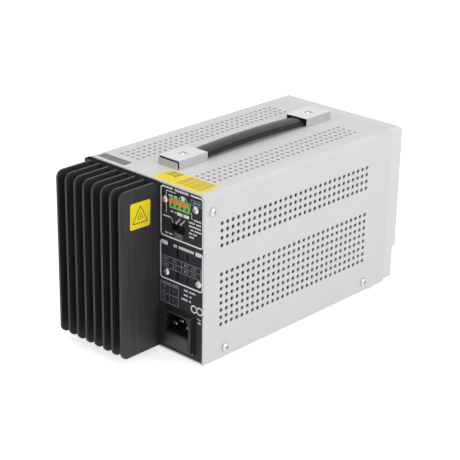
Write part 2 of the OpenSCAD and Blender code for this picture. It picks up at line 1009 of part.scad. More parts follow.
module bezel_front_outline(inset) {
    w = case_w - 2 * inset;
    h = case_h - 2 * inset;
    r = fold_r - inset;
    translate([0, foot_h + case_h / 2])
        round_rect(w, h, r);
}

module bezel_solid(inset, back) {
    intersection() {
        upright(back, bezel_d + 4)
            bezel_front_outline(inset);
        translate([0, 0, foot_h - 1])
            linear_extrude(case_h + 2)
                bezel_plan(inset);
        translate([-case_w, 0, 0])
            rotate([90, 0, 90])
                linear_extrude(2 * case_w)
                    bezel_profile(inset);
    }
}

module bezel() {
    color("#e4e2dc")
    difference() {
        bezel_solid(0, cover_l + face_gap);
        bezel_solid(bezel_t, cover_l - 2);
        upright(cover_l, bezel_d + 1)
            translate([0, from_base(window_z)])
                round_rect(window_w, window_h, 1.5);
        for (i = [0 : 3])
            facing_front(knob_x(i), cover_l, from_base(knob_z))
                cylinder(h = bezel_d + 1, d = shaft_hole_d);
        for (i = [0 : 2])
            facing_front(post_x(i), cover_l, from_base(post_z))
                cylinder(h = bezel_d + 1, d = stud_d + 2 * run_gap);
        upright(cover_l, bezel_d + 1)
            translate([from_left(button_x), from_base(post_z)])
                square([button_w + 2 * slide_gap, button_h + 2 * slide_gap], center = true);
    }
}

module front_panel() {
    panel_h = case_h - plate_t - cover_t - 2 * seat_gap - 6;
    color("lightsteelblue")
    difference() {
        union() {
            upright(sub_panel_d - plate_t, plate_t)
                translate([-inner_w / 2 + plate_t + seat_gap, floor_z + face_gap])
                    square([inner_w - 2 * (plate_t + seat_gap), panel_h]);
            translate([-inner_w / 2 + plate_t + seat_gap, from_rear(sub_panel_d), floor_z + face_gap])
                cube([inner_w - 2 * (plate_t + seat_gap), front_flange_l, plate_t]);
        }
        upright(sub_panel_d - plate_t - 1, plate_t + 2)
            translate([0, from_base(window_z)])
                square([window_w - 16, window_h - 12], center = true);
        for (i = [0 : 3])
            facing_front(knob_x(i), sub_panel_d - plate_t - 1, from_base(knob_z))
                cylinder(h = plate_t + 2, d = bush_hole_d);
        for (i = [0 : 2])
            facing_front(post_x(i), sub_panel_d - plate_t - 1, from_base(post_z))
                cylinder(h = plate_t + 2, d = stud_d + 4);
        upright(sub_panel_d - plate_t - 1, plate_t + 2)
            translate([from_left(button_x), from_base(post_z)])
                square([switch_w + 2 * seat_gap, switch_h + 2 * seat_gap], center = true);
    }
}

module display_window() {
    color([0.25, 0.05, 0.05, 0.6])
    union() {
        upright(face_d - lens_t - 0.1, lens_t)
            translate([0, from_base(window_z)])
                round_rect(window_w + 2 * window_rim, window_h + 2 * window_rim, 2);
        upright(face_d - 0.2, bezel_t - 0.6)
            translate([0, from_base(window_z)])
                round_rect(window_w - 2 * slide_gap, window_h - 2 * slide_gap, 1.4);
    }
}

module display_board() {
    color("darkgreen")
    difference() {
        union() {
            upright(sub_panel_d + spacer_l, board_t)
                translate([0, from_base(window_z)])
                    square([window_w + 8, window_h + 10], center = true);
            for (sx = [-1, 1], sz = [-1, 1])
                facing_front(sx * spacer_dx, sub_panel_d + face_gap, from_base(window_z + sz * spacer_dz))
                    cylinder(h = spacer_l, d = spacer_d);
        }
        for (sx = [-1, 1], sz = [-1, 1])
            facing_front(sx * spacer_dx, sub_panel_d - 1, from_base(window_z + sz * spacer_dz))
                cylinder(h = spacer_l + board_t + 2, d = spacer_hole_d);
    }
}

module digit_displays() {
    color("#301010")
    for (side = [-1, 1])
        upright(sub_panel_d + spacer_l + board_t + face_gap, digit_t)
            translate([side * digit_dx, from_base(window_z)])
                square([digit_w, digit_h], center = true);
}

module control_pots() {
    color("slategray")
    for (i = [0 : 3])
        facing_front(knob_x(i), sub_panel_d - plate_t - 0.1, from_base(knob_z))
            difference() {
                union() {
                    translate([-pot_w / 2, -pot_w / 2, -pot_d])
                        cube([pot_w, pot_w, pot_d]);
                    cylinder(h = bush_l, d = bush_d);
                    translate([0, 0, plate_t + 0.2])
                        cylinder(h = pot_nut_t, d = pot_nut_d, $fn = 6);
                }
                translate([0, 0, -pot_d + 2])
                    cylinder(h = pot_d + bush_l, d = shaft_d + 2 * run_gap);
            }
}

module shaft(i) {
    color("silver")
    facing_front(knob_x(i), sub_panel_d - plate_t - pot_d + 3, from_base(knob_z))
        cylinder(h = body_d + knob_gap + knob_bore_l - 0.4 - (sub_panel_d - plate_t - pot_d + 3),
                 d = shaft_d);
}

module knob(i) {
    color("#3c3c40")
    facing_front(knob_x(i), body_d + knob_gap, from_base(knob_z))
        difference() {
            union() {
                cylinder(h = knob_skirt_l, d = knob_d);
                translate([0, 0, knob_skirt_l])
                    cylinder(h = knob_l - 1 - knob_skirt_l, d1 = knob_d - 0.8, d2 = knob_tip_d);
                translate([0, 0, knob_l - 1])
                    cylinder(h = 1, d1 = knob_tip_d, d2 = knob_tip_d - 2);
            }
            translate([0, 0, -1])
                cylinder(h = knob_bore_l + 1, d = shaft_d + 0.04);
            for (k = [0 : knob_flutes - 1])
                rotate([0, 0, k * 360 / knob_flutes])
                    translate([knob_d / 2 + face_gap, 0, knob_skirt_l + 0.6])
                        cylinder(h = knob_l, d = knob_flute_d, $fn = 4);
            translate([knob_tip_d / 2 - 3, 0, knob_l])
                cube([4, 0.9, 0.8], center = true);
        }
}

// Distance of the recessed face from the rear panel
recess_face = body_d - recess_d;

module post_studs() {
    color("gold")
    for (i = [0 : 2])
        facing_front(post_x(i), recess_face, from_base(post_z))
            difference() {
                union() {
                    translate([0, 0, -bezel_d + recess_d - stud_tail])
                        cylinder(h = stud_l + bezel_d - recess_d + stud_tail, d = stud_d);
                    translate([0, 0, -bezel_t - 0.1 - stud_nut_t])
                        cylinder(h = stud_nut_t, d = stud_nut_d, $fn = 6);
                }
                translate([0, 0, stud_l - socket_l])
                    cylinder(h = socket_l + 1, d = socket_d);
                translate([0, 0, collar_l + washer_t + 3.4])
                    rotate([90, 0, 0])
                        cylinder(h = 2 * stud_d, d = wire_cross_d, center = true);
            }
}

module post_collars() {
    for (i = [0 : 2])
        color(["firebrick", "seagreen", "#202020"][i])
        facing_front(post_x(i), recess_face + face_gap, from_base(post_z))
            difference() {
                union() {
                    cylinder(h = collar_l - 0.8, d = collar_d);
                    translate([0, 0, collar_l - 0.8])
                        cylinder(h = 0.8, d1 = collar_d, d2 = collar_d - 1.6);
                }
                translate([0, 0, -1])
                    cylinder(h = collar_l + 2, d = stud_d + 2 * run_gap);
            }
}

// Distance of the washers' rear face from the rear panel
washer_start = recess_face + face_gap + collar_l + face_gap;

module post_washer(i) {
    color("silver")
    facing_front(post_x(i), washer_start, from_base(post_z))
        difference() {
            cylinder(h = washer_t, d = washer_d);
            translate([0, 0, -1])
                cylinder(h = washer_t + 2, d = stud_d + 2 * run_gap);
        }
}

module post_cap(i, shade) {
    cap_start = washer_start + washer_t + face_gap;
    cap_len = body_d + knob_gap + knob_l - cap_start;
    color(shade)
    facing_front(post_x(i), cap_start, from_base(post_z))
        difference() {
            union() {
                cylinder(h = cap_len - post_tip_l, d = post_cap_d);
                translate([0, 0, cap_len - post_tip_l])
                    cylinder(h = post_tip_l, d1 = post_cap_d - 1.4, d2 = post_cap_d - 3);
            }
            translate([0, 0, -1])
                cylinder(h = cap_len + 2, d = stud_d + 2 * run_gap);
            for (k = [0 : cap_flutes - 1])
                rotate([0, 0, k * 360 / cap_flutes])
                    translate([post_cap_d / 2 + 0.1, 0, 1])
                        cylinder(h = cap_len, d = cap_flute_d, $fn = 4);
        }
}

// Distance of the button's rear face from the rear panel
button_d = recess_face - bezel_t - button_root;

module power_button() {
    color("#2a2a2d")
    union() {
        upright(button_d, bezel_t + button_root + button_reach)
            translate([from_left(button_x), from_base(post_z)])
                square([button_w, button_h], center = true);
        facing_rear(from_left(button_x), button_d + 0.1, from_base(post_z))
            cylinder(h = stem_l, d = stem_d);
    }
}

module power_switch_body() {
    switch_face = button_d - button_travel - 0.5;
    color("#4a4a4e")
    difference() {
        upright(switch_face - switch_l, switch_l)
            translate([from_left(button_x), from_base(post_z)])
                square([switch_w, switch_h], center = true);
        facing_front(from_left(button_x), switch_face - stem_l - 2, from_base(post_z))
            cylinder(h = stem_l + 3, d = stem_d + 2 * run_gap);
    }
}

// ---- Inside ----

module transformer_core() {
    leg = core_w / 6;
    window_clear = (core_w - 4 * leg) / 2;
    color("dimgray")
    translate([core_x, from_rear(core_d), floor_z]) {
        difference() {
            translate([-core_w / 2, -core_stack / 2, core_base_h])
                cube([core_w, core_stack, core_h]);
            for (side = [-1, 1])
                translate([side * (leg + window_clear / 2) - window_clear / 2, -core_stack / 2 - 1,
                           core_base_h + leg])
                    cube([window_clear, core_stack + 2, core_h - 2 * leg]);
        }
        for (side = [-1, 1])
            translate([side > 0 ? core_w / 2 - core_foot_w : -core_w / 2,
                       -core_stack / 2 - core_foot_reach, face_gap])
                cube([core_foot_w, core_stack + 2 * core_foot_reach, core_base_h - 0.04]);
    }
}

module transformer_coils() {
    leg = core_w / 6;
    coil_t = (core_w - 4 * leg) / 2 - 2 * coil_gap;
    color("peru")
    translate([core_x, from_rear(core_d), floor_z + core_base_h + leg + coil_gap])
        linear_extrude(core_h - 2 * (leg + coil_gap))
            difference() {
                round_rect(2 * (leg + coil_gap + coil_t), core_stack + 2 * coil_reach, 6);
                square([2 * (leg + coil_gap), core_stack + 2 * coil_gap], center = true);
            }
}

module board_screw_places() {
    for (sx = [-1, 1], sy = [-1, 1])
        translate([from_left(case_w / 2 + board_x) + sx * (board_w / 2 - board_inset),
                   from_rear(board_d + board_l / 2) + sy * (board_l / 2 - board_inset), floor_z])
            children();
}

module main_board() {
    color("darkgreen")
    union() {
        difference() {
            translate([from_left(case_w / 2 + board_x) - board_w / 2, from_rear(board_d + board_l),
                       floor_z + standoff_h])
                cube([board_w, board_l, board_t]);
            board_screw_places()
                cylinder(h = standoff_h + board_t + 1, d = screw_d + 0.2);
        }
        board_screw_places()
            difference() {
                translate([0, 0, face_gap])
                    cylinder(h = standoff_h - 0.04, d = standoff_d);
                cylinder(h = standoff_h + 1, d = screw_d - 0.5);
            }
    }
}

module filter_capacitors() {
    color("midnightblue")
    for (i = [0, 1])
        translate([from_left(case_w / 2 + board_x),
                   from_rear(board_d + capacitor_d_start + i * (capacitor_d + capacitor_gap)),
                   floor_z + standoff_h + board_t + face_gap])
            difference() {
                cylinder(h = capacitor_h, d = capacitor_d);
                translate([0, 0, capacitor_h - 0.6])
                    cylinder(h = 1, d = capacitor_d - 4);
            }
}

cover();
chassis_tray();
rear_panel();
heat_sink();
heat_sink_screws();
power_transistors();
cover_screws();
rear_screws();
feet();
inlet_module();
inlet_pins();
fuse_drawer();
fuses();
terminal_block();
lever(1);  // lever_1
lever(2);  // lever_2
lever(3);  // lever_3
lever(4);  // lever_4
remote_switch_body();
remote_slider();
selector_bodies();
selector_slider(upper_selector_z);  // selector_slider_upper
selector_slider(lower_selector_z);  // selector_slider_lower
handle_caps();
handle_bases();
handle_screws();
strap_grip();
strap_span(0);  // strap_span_rear
strap_span(1);  // strap_span_front
strap_end(0);  // strap_end_rear
strap_end(1);  // strap_end_front
bezel();
front_panel();
display_window();
display_board();
digit_displays();
control_pots();
shaft(0);  // shaft_voltage_coarse
shaft(1);  // shaft_voltage_fine
shaft(2);  // shaft_current_fine
shaft(3);  // shaft_current_coarse
knob(0);  // knob_voltage_coarse
knob(1);  // knob_voltage_fine
knob(2);  // knob_current_fine
knob(3);  // knob_current_coarse
post_studs();
post_collars();
post_washer(0);  // post_washer_positive
post_washer(1);  // post_washer_ground
post_washer(2);  // post_washer_negative
post_cap(0, "firebrick");  // post_cap_positive
post_cap(1, "seagreen");  // post_cap_ground
post_cap(2, "#202020");  // post_cap_negative
power_button();
power_switch_body();
transformer_core();
transformer_coils();
main_board();
filter_capacitors();
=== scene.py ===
"""Looks of a bench power supply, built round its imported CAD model."""

import json
import math
import random

import bmesh
import bpy
from mathutils import Matrix, Vector


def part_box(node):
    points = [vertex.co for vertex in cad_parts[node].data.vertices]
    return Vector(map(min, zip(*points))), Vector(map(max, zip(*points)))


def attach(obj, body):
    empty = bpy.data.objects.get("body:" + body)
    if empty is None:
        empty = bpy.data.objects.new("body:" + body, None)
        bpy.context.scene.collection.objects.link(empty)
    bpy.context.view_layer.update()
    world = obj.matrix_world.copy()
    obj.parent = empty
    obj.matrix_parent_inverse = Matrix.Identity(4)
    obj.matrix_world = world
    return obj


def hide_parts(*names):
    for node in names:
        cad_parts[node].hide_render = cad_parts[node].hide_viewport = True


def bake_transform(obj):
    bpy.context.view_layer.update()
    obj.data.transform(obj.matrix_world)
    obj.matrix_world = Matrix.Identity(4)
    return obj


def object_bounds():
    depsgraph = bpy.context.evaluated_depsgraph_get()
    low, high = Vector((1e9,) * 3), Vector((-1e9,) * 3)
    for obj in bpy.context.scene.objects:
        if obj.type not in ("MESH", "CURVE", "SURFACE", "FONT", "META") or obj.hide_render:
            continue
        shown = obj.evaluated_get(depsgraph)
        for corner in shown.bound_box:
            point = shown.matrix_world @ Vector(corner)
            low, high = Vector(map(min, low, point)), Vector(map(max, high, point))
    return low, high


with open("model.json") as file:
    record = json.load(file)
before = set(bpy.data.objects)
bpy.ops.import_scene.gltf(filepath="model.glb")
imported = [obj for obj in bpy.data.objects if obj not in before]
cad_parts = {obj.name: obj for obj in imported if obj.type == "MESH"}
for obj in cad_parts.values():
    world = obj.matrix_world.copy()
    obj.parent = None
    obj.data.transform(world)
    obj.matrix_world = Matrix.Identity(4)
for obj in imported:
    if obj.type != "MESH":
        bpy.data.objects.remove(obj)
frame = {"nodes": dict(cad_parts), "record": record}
cad_low, cad_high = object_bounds()
nodes = frame["nodes"]

MM = 0.001
X, Y, Z = Vector((1, 0, 0)), Vector((0, 1, 0)), Vector((0, 0, 1))

# Places are given as on the real case: x from its left side, d forwards from the rear panel's
# face and z up from its underside, in millimetres.
cover_low, cover_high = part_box("cover")
LEFT = cover_low.x
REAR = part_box("rear_panel")[1].y
BASE = cover_low.z
CASE_H = (cover_high.z - BASE) / MM
BODY_D = (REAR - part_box("bezel")[0].y) / MM


def place(x, d, z):
    return Vector((LEFT + x * MM, REAR - d * MM, BASE + z * MM))


def own_place(point):
    """The same three distances of a point of the frame."""
    return (point.x - LEFT) / MM, (REAR - point.y) / MM, (point.z - BASE) / MM


def middle_of(node):
    low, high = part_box(node)
    return own_place((low + high) / 2)


# ---- Materials ----


def add_node(mat, kind, **values):
    node = mat.node_tree.nodes.new(kind)
    for name, value in values.items():
        node.inputs[name.replace("_", " ")].default_value = value
    return node


def join(mat, source, output, target, socket):
    mat.node_tree.links.new(source.outputs[output], target.inputs[socket])


def plain(name, color, roughness, metallic=0.0, **sockets):
    """A material whose constant values sit on the shader itself."""
    mat = bpy.data.materials.new(name)
    mat.use_nodes = True
    shader = mat.node_tree.nodes["Principled BSDF"]
    shader.inputs["Base Color"].default_value = (*color, 1)
    shader.inputs["Roughness"].default_value = roughness
    shader.inputs["Metallic"].default_value = metallic
    for socket, value in sockets.items():
        shader.inputs[socket.replace("_", " ")].default_value = value
    return mat, shader


def mapped(mat, stretch):
    """Object coordinates in metres, stretched along each axis."""
    coords = add_node(mat, "ShaderNodeTexCoord")
    mapping = add_node(mat, "ShaderNodeMapping", Scale=stretch)
    join(mat, coords, "Object", mapping, "Vector")
    return mapping


def noise(mat, mapping, size, detail=3.0):
    """Noise whose grains are about size millimetres."""
    node = add_node(mat, "ShaderNodeTexNoise", Scale=1 / (size * MM), Detail=detail)
    join(mat, mapping, "Vector", node, "Vector")
    return node


def to_range(mat, source, output, low, high):
    node = add_node(mat, "ShaderNodeMapRange", From_Min=0.3, From_Max=0.7, To_Min=low, To_Max=high)
    join(mat, source, output, node, "Value")
    return node


def bump(mat, shader, source, output, height, strength=1.0):
    node = add_node(mat, "ShaderNodeBump", Strength=strength, Distance=height * MM)
    join(mat, source, output, node, "Height")
    join(mat, node, "Normal", shader, "Normal")


def shade_by(mat, shader, source, output, color, spread):
    """Base colour that wanders by spread round color."""
    ramp = mat.node_tree.nodes.new("ShaderNodeValToRGB")
    dark, light = ramp.color_ramp.elements
    dark.position, light.position = 0.3, 0.7
    dark.color = (*[c * (1 - spread) for c in color], 1)
    light.color = (*[min(1.0, c * (1 + spread)) for c in color], 1)
    join(mat, source, output, ramp, "Fac")
    join(mat, ramp, "Color", shader, "Base Color")


def surface(name, color, roughness, metallic=0.0, grain=0.5, height=0.02, spread=0.05,
            rough_spread=0.06, stretch=(1, 1, 1), cloud=25.0, **sockets):
    """A finish with fine grain in its bump and roughness and slow changes in its colour."""
    mat, shader = plain(name, color, roughness, metallic, **sockets)
    mapping = mapped(mat, stretch)
    fine = noise(mat, mapping, grain)
    slow = noise(mat, mapping, cloud)
    shade_by(mat, shader, slow, "Fac", color, spread)
    rough = to_range(mat, fine, "Fac", max(0.02, roughness - rough_spread), roughness + rough_spread)
    join(mat, rough, "Result", shader, "Roughness")
    bump(mat, shader, fine, "Fac", height)
    return mat


def banded(name, color, pitch, direction, roughness, metallic=0.0, wander=0.4, spread=0.45, depth=0.08):
    """Stacked sheets or wound layers seen on their edges, pitch millimetres apart along an axis."""
    mat, shader = plain(name, color, roughness, metallic)
    mapping = mapped(mat, (1, 1, 1))
    wave = add_node(mat, "ShaderNodeTexWave", Scale=1 / (20 * pitch * MM), Distortion=wander)
    wave.bands_direction = direction
    join(mat, mapping, "Vector", wave, "Vector")
    shade_by(mat, shader, wave, "Fac", color, spread)
    bump(mat, shader, wave, "Fac", depth)
    return mat


def paint_hole_shade(mat, reach, darkest):
    """Paints shade into a finish's colour inside its own small holes, where little light gets to."""
    shader = mat.node_tree.nodes["Principled BSDF"]
    color = shader.inputs["Base Color"].links[0].from_socket
    closeness = add_node(mat, "ShaderNodeAmbientOcclusion", Distance=reach * MM)
    closeness.samples = 8
    closeness.only_local = True
    level = add_node(mat, "ShaderNodeMapRange", From_Min=0.35, From_Max=0.75, To_Min=darkest, To_Max=1)
    join(mat, closeness, "AO", level, "Value")
    shade = add_node(mat, "ShaderNodeVectorMath")
    shade.operation = "SCALE"
    mat.node_tree.links.new(color, shade.inputs[0])
    join(mat, level, "Result", shade, "Scale")
    join(mat, shade, "Vector", shader, "Base Color")
    return mat


ALONG_FIN = (1, 1, 0.02)
ACROSS_CAP = (1, 0.05, 1)

MATERIALS = {
    # The light grey paint gets painted shade inside its vent holes, from an occlusion node.
    "light_grey_paint": paint_hole_shade(surface("light_grey_paint", (0.70, 0.70, 0.70), 0.42, grain=0.7,
                                              height=0.012, spread=0.012), reach=2.5, darkest=0.15),
    "zinc_plate": surface("zinc_plate", (0.50, 0.53, 0.57), 0.38, 0.85, grain=0.4, spread=0.1, cloud=6),
    "black_paint": surface("black_paint", (0.025, 0.025, 0.032), 0.6, grain=0.5, height=0.015,
                           spread=0.12, Specular_IOR_Level=0.25),
    "black_anodised": surface("black_anodised", (0.036, 0.035, 0.040), 0.45, grain=0.35, height=0.02,
                              spread=0.4, cloud=1.0, stretch=ALONG_FIN, Specular_IOR_Level=0.3),
    "matt_black": surface("matt_black", (0.006, 0.006, 0.007), 0.8, grain=0.5, height=0.03,
                          Specular_IOR_Level=0.1),
    "nickel": surface("nickel", (0.62, 0.60, 0.57), 0.22, 1.0, grain=0.3, height=0.004, spread=0.04),
    "brushed_nickel": surface("brushed_nickel", (0.74, 0.73, 0.73), 0.14, 1.0, grain=0.25, height=0.002,
                              spread=0.06, cloud=2, stretch=ACROSS_CAP),
    "satin_nickel": surface("satin_nickel", (0.62, 0.61, 0.60), 0.38, 1.0, grain=0.3, height=0.01),
    "black_plastic": surface("black_plastic", (0.014, 0.014, 0.015), 0.38, grain=0.35, height=0.02,
                             spread=0.15),
    "dark_plastic": surface("dark_plastic", (0.022, 0.022, 0.024), 0.42, grain=0.35, height=0.025,
                            spread=0.15),
    "knob_plastic": surface("knob_plastic", (0.040, 0.040, 0.044), 0.46, grain=0.35, height=0.03,
                            spread=0.12),
    "green_plastic": surface("green_plastic", (0.19, 0.55, 0.18), 0.32, grain=0.4, height=0.01),
    "orange_plastic": surface("orange_plastic", (0.95, 0.27, 0.045), 0.32, grain=0.4, height=0.01),
    "warm_white_plastic": surface("warm_white_plastic", (0.745, 0.735, 0.715), 0.45, grain=0.45,
                                  height=0.02, spread=0.012),
    "window": surface("window", (0.045, 0.006, 0.006), 0.12, grain=3, height=0.002, rough_spread=0.03,
                      Transmission_Weight=0.55, Coat_Weight=0.5),
    "board_green": surface("board_green", (0.012, 0.13, 0.05), 0.3, grain=0.6, height=0.02, spread=0.25,
                           cloud=4),
    "display_face": surface("display_face", (0.03, 0.012, 0.012), 0.2, grain=0.5, height=0.004),
    "brass": surface("brass", (0.72, 0.58, 0.33), 0.25, 1.0, grain=0.3, height=0.005),
    "rubber": surface("rubber", (0.02, 0.02, 0.02), 0.7, grain=0.4, height=0.04),
    "strap_vinyl": surface("strap_vinyl", (0.014, 0.014, 0.019), 0.34, grain=0.6, height=0.02,
                           spread=0.2, cloud=8, Specular_IOR_Level=0.3),
    "glass": surface("glass", (0.9, 0.95, 0.95), 0.06, grain=2, height=0.002, rough_spread=0.02,
                     Transmission_Weight=0.9),
    "red_plastic": surface("red_plastic", (0.50, 0.012, 0.012), 0.35, grain=0.35, height=0.015),
    "core_steel": banded("core_steel", (0.10, 0.10, 0.11), 0.5, "Y", 0.5, 0.6),
    "coil_tape": banded("coil_tape", (0.60, 0.38, 0.06), 1.4, "Z", 0.35, wander=1.5, spread=0.25,
                        depth=0.1),
    "sleeve_blue": surface("sleeve_blue", (0.012, 0.025, 0.16), 0.28, grain=0.8, height=0.01),
    "white_ink": surface("white_ink", (0.86, 0.86, 0.90), 0.5, grain=0.3, height=0.01, spread=0.08,
                         cloud=3),
    "grey_ink": surface("grey_ink", (0.26, 0.26, 0.29), 0.5, grain=0.3, height=0.01, spread=0.15,
                        cloud=2),
    "black_ink": surface("black_ink", (0.012, 0.012, 0.012), 0.5, grain=0.3, height=0.01, spread=0.2,
                         cloud=3),
    "brown_ink": surface("brown_ink", (0.32, 0.22, 0.04), 0.5, grain=0.3, height=0.01, spread=0.2,
                         cloud=3),
    "yellow_label": surface("yellow_label", (0.96, 0.76, 0.02), 0.4, grain=0.8, height=0.006,
                            spread=0.04, cloud=9, Specular_IOR_Level=0.2),
    "grey_label": surface("grey_label", (0.12, 0.12, 0.135), 0.36, grain=0.8, height=0.006,
                          spread=0.08, cloud=6),
    "unlit_segment": surface("unlit_segment", (0.12, 0.035, 0.03), 0.35, grain=0.4, height=0.004),
    "white_enamel": surface("white_enamel", (0.70, 0.70, 0.68), 0.4, grain=0.3, height=0.006),
}

NODE_MATERIALS = {
    "handle_caps": "brushed_nickel",
    "inlet_pins": "nickel",
    "remote_slider": "matt_black",
}


def node_material(record_slot, node):
    """The record's own slot names the finish, except where a node has a finer one."""
    if node in NODE_MATERIALS:
        return MATERIALS[NODE_MATERIALS[node]]
    if node.startswith("knob_"):
        return MATERIALS["knob_plastic"]
    return MATERIALS[record_slot]


for part in frame["record"]["subparts"]:
    data = nodes[part["node"]].data
    data.materials.clear()
    data.materials.append(node_material(part["material_slot"], part["node"]))


# ---- Softened edges of the CAD nodes ----

EDGE_RADII = {
    "handle_caps": 0.45, "heat_sink": 0.25, "rear_panel": 0.15, "inlet_module": 0.5, "fuse_drawer": 0.25,
    "terminal_block": 0.2, "rear_screws": 0.15, "cover_screws": 0.15, "handle_screws": 0.15,
    "remote_slider": 0.2, "selector_slider_upper": 0.2, "selector_slider_lower": 0.2,
    "power_button": 0.5, "inlet_pins": 0.3, "bezel": 0.2, "transformer_core": 0.4,
}
EDGE_RADII.update({f"lever_{i}": 0.2 for i in range(1, 5)})
EDGE_ANGLE = math.radians(32)


def soften(node, radius):
    """Rounds the sharp edges of a CAD node by modifiers, which leave its own mesh alone."""
    obj = nodes[node]
    weld = obj.modifiers.new("weld", "WELD")
    weld.merge_threshold = 0.002 * MM
    edge = obj.modifiers.new("edge", "BEVEL")
    edge.width = radius * MM
    edge.segments = 2
    edge.limit_method = "ANGLE"
    edge.angle_limit = EDGE_ANGLE
    normals = obj.modifiers.new("normals", "WEIGHTED_NORMAL")
    normals.weight = 90


for node, radius in EDGE_RADII.items():
    soften(node, radius)


# ---- Drawing on flat faces ----


def piece_from(mesh_builder, name, material, body="case", smooth=None):
    """Turns a bmesh into a piece on a body."""
    bmesh.ops.recalc_face_normals(mesh_builder, faces=mesh_builder.faces)
    mesh = bpy.data.meshes.new(name)
    mesh_builder.to_mesh(mesh)
    mesh_builder.free()
    mesh.materials.append(MATERIALS[material])
    obj = bpy.data.objects.new(name, mesh)
    bpy.context.scene.collection.objects.link(obj)
    if smooth is not None:
        mesh.shade_smooth()
        mesh.set_sharp_from_angle(angle=math.radians(smooth))
    if body:
        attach(obj, body)
    return obj


def rounded(a0, b0, a1, b1, radius, steps=5):
    """Rectangle between two corners with round corners, as a list of points."""
    a0, a1 = sorted((a0, a1))
    b0, b1 = sorted((b0, b1))
    radius = min(radius, (a1 - a0) / 2.001, (b1 - b0) / 2.001)
    corners = [(a1 - radius, b1 - radius), (a0 + radius, b1 - radius),
               (a0 + radius, b0 + radius), (a1 - radius, b0 + radius)]
    points = []
    for quarter, (a, b) in enumerate(corners):
        for step in range(steps + 1):
            angle = math.pi / 2 * (quarter + step / steps)
            points.append((a + radius * math.cos(angle), b + radius * math.sin(angle)))
    return points


def arc(a, b, radius, start, end, steps=8):
    """Points on a circle's arc, angles in degrees."""
    angles = [math.radians(start + (end - start) * i / steps) for i in range(steps + 1)]
    return [(a + radius * math.cos(t), b + radius * math.sin(t)) for t in angles]


class Sheet:
    """Thin shapes on a flat face. a and b are millimetres along its two directions."""

    def __init__(self, origin, along, up, thickness, lift=0.0):
        self.origin, self.along, self.up = origin, along, up
        self.normal = along.cross(up).normalized()
        self.thickness, self.lift = thickness, lift
        self.mesh = bmesh.new()

    def vertex(self, a, b, height):
        spot = self.origin + (self.along * a + self.up * b + self.normal * (self.lift + height)) * MM
        return self.mesh.verts.new(spot)

    def fill(self, outline):
        """A closed thin plate with this outline."""
        low = [self.vertex(a, b, 0) for a, b in outline]
        high = [self.vertex(a, b, self.thickness) for a, b in outline]
        self.mesh.faces.new(high)
        self.mesh.faces.new(low[::-1])
        for i in range(len(outline)):
            k = (i + 1) % len(outline)
            self.mesh.faces.new((low[i], low[k], high[k], high[i]))

    def ring(self, outer, inner):
        """A closed band between two outlines of the same number of points."""
        loops = [[self.vertex(a, b, h) for a, b in o]
                 for o, h in ((outer, 0), (outer, self.thickness), (inner, self.thickness), (inner, 0))]
        for i in range(len(outer)):
            k = (i + 1) % len(outer)
            for one, two in zip(loops, loops[1:] + loops[:1]):
                self.mesh.faces.new((one[i], one[k], two[k], two[i]))

    def bar(self, a0, b0, a1, b1, radius=0.15):
        self.fill(rounded(a0, b0, a1, b1, radius, steps=2))

    def box(self, a0, b0, a1, b1, width, radius=0.4):
        a0, a1 = sorted((a0, a1))
        b0, b1 = sorted((b0, b1))
        self.ring(rounded(a0, b0, a1, b1, radius),
                  rounded(a0 + width, b0 + width, a1 - width, b1 - width, max(0.1, radius - width)))

    def line(self, points, width):
        """A band of one width along a path."""
        left, right = [], []
        for i, (a, b) in enumerate(points):
            before = Vector(points[max(0, i - 1)])
            after = Vector(points[min(len(points) - 1, i + 1)])
            side = (after - before).normalized() * width / 2
            left.append((a - side.y, b + side.x))
            right.append((a + side.y, b - side.x))
        self.fill(left + right[::-1])

    def words(self, a, b, height, lengths):
        """A row of plain marks that stands for printing: one short bar for each character."""
        step = 0.78 * height
        for length in lengths:
            for i in range(max(1, round(length / step))):
                self.bar(a + i * step, b - height / 2, a + i * step + 0.56 * height, b + height / 2, 0.1)
            a += length + 0.7 * height

    def finish(self, name, material, body="case", slot=None):
        return piece_from(self.mesh, name, material, body)


SEGMENTS = {
    "0": "abcdef", "1": "bc", "2": "abged", "3": "abgcd", "4": "fgbc", "5": "afgcd",
    "6": "afgedc", "7": "abc", "8": "abcdefg", "9": "abcdfg",
}


def digits(sheet, text, a, b, height, stroke, turned=1):
    """Plain seven-stroke digits, b at their middle. turned is -1 where a runs right to left."""
    width = 0.5 * height
    half = height / 2
    strokes = {
        "a": (0, half, width, half), "g": (0, 0, width, 0), "d": (0, -half, width, -half),
        "f": (0, 0, 0, half), "b": (width, 0, width, half),
        "e": (0, -half, 0, 0), "c": (width, -half, width, 0),
    }
    for figure in text:
        for key in SEGMENTS[figure]:
            a0, b0, a1, b1 = strokes[key]
            a0, a1 = a + turned * a0, a + turned * a1
            sheet.bar(min(a0, a1) - stroke / 2, b + b0 - stroke / 2,
                      max(a0, a1) + stroke / 2, b + b1 + stroke / 2, stroke / 4)
        a += turned * (width + 2.4 * stroke)


INK = 0.05


def rear_sheet():
    """The rear panel's face, seen from behind: a is x from the left side and b is height."""
    sheet = Sheet(place(0, 0, 0), X, Z, INK)
    sheet.normal = Y
    return sheet


def frame_path(left, right, low, high, radius, gap_left, gap_right):
    """A rounded frame's line, broken at the top between the two gap ends."""
    path = [(gap_left, high)]
    path += arc(left - radius, high - radius, radius, 90, 0)
    path += arc(left - radius, low + radius, radius, 0, -90)
    path += arc(right + radius, low + radius, radius, 270, 180)
    path += arc(right + radius, high - radius, radius, 180, 90)
    return path + [(gap_right, high)]


